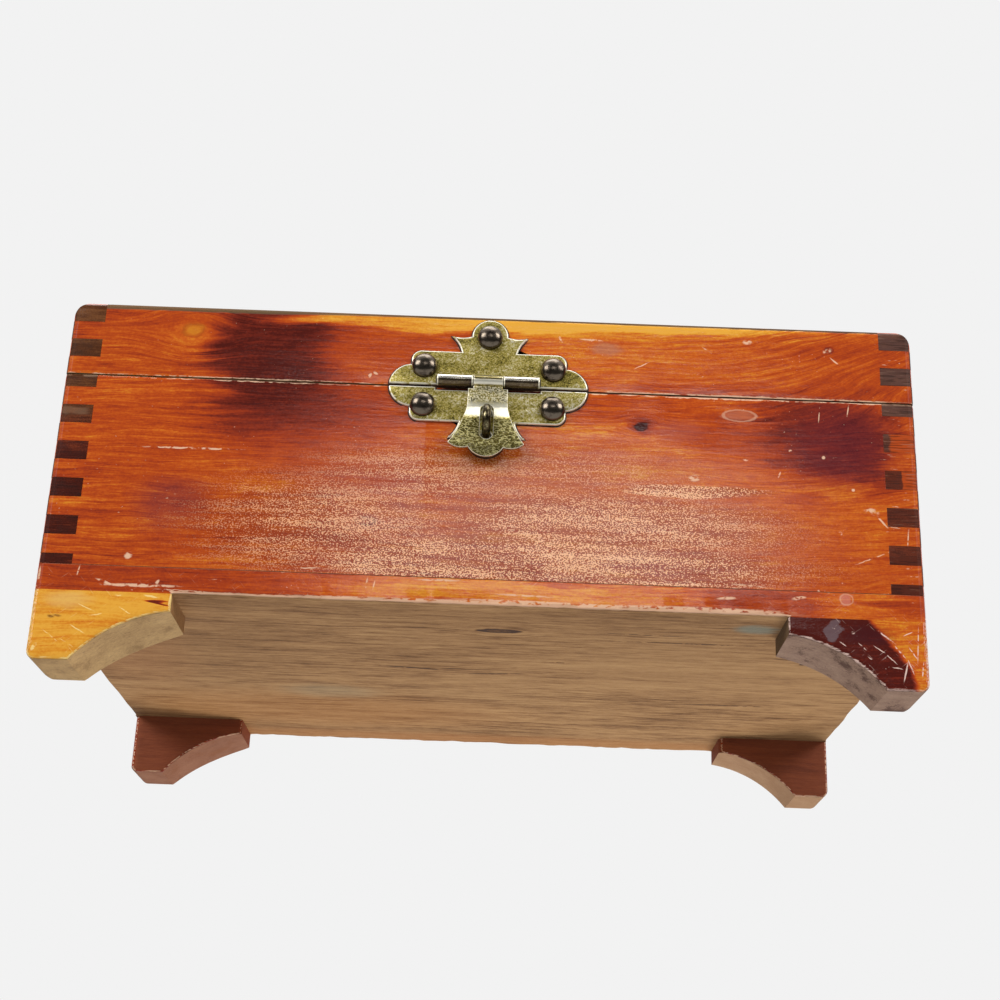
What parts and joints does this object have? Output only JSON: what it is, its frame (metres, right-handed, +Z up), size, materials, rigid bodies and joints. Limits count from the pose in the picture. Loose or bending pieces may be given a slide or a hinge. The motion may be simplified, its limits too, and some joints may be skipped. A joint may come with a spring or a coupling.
{
  "type": "wooden jewelry box",
  "caption": "Footed wooden box with box-jointed corners, a hinged lid and a brass front latch with a hasp over a staple.",
  "frame": {"origin": "on the floor, under the middle of the whole object's box", "axes": "+X to the right along the front, +Y to the back with the latch on the -Y side, +Z up"},
  "size_m": [0.2064, 0.1518, 0.0916],
  "materials": {
    "varnished_cedar": "glossy orange-red varnish over knotty cedar, chipped along the edges",
    "bare_cedar": "raw sawn board, tan, unvarnished",
    "foot_cedar": "varnished face, raw sawn arches, mixed sapwood and heartwood",
    "aged_brass": "antiqued olive brass sheet with dark mottling and bright rubbed edges",
    "hinge_brass": "antiqued brass sheet",
    "dark_brass": "dark antiqued metal, polished on the high spots"
  },
  "bodies": {
    "base": {"base_front_wall": "varnished_cedar", "base_back_wall": "varnished_cedar", "base_left_wall": "varnished_cedar", "base_right_wall": "varnished_cedar", "bottom_board": "bare_cedar", "foot_front_left": "foot_cedar", "foot_front_right": "foot_cedar", "foot_back_left": "foot_cedar", "foot_back_right": "foot_cedar", "latch_base_plate": "aged_brass", "latch_staple": "dark_brass", "latch_base_nails": "dark_brass", "left_hinge_base_leaf": "hinge_brass", "right_hinge_base_leaf": "hinge_brass", "left_hinge_pin": "dark_brass", "right_hinge_pin": "dark_brass", "hinge_base_nails": "dark_brass"},
    "lid": {"lid_front_rail": "varnished_cedar", "lid_back_rail": "varnished_cedar", "lid_left_rail": "varnished_cedar", "lid_right_rail": "varnished_cedar", "lid_top_panel": "varnished_cedar", "latch_lid_plate": "aged_brass", "latch_pin": "dark_brass", "latch_lid_nails": "dark_brass", "left_hinge_lid_leaf": "hinge_brass", "right_hinge_lid_leaf": "hinge_brass", "hinge_lid_nails": "dark_brass"},
    "hasp": {"latch_hasp": "aged_brass"}
  },
  "joints": [
    {"name": "lid_hinge", "type": "hinge", "parent": "base", "child": "lid", "pos_m": [0, 0.07295, 0.07182], "axis": [-1, 0, 0], "range_deg": [0, 105]},
    {"name": "hasp_hinge", "type": "hinge", "parent": "lid", "child": "hasp", "pos_m": [-0.00025, -0.0705, 0.07292], "axis": [-1, 0, 0], "range_deg": [0, 150]}
  ]
}
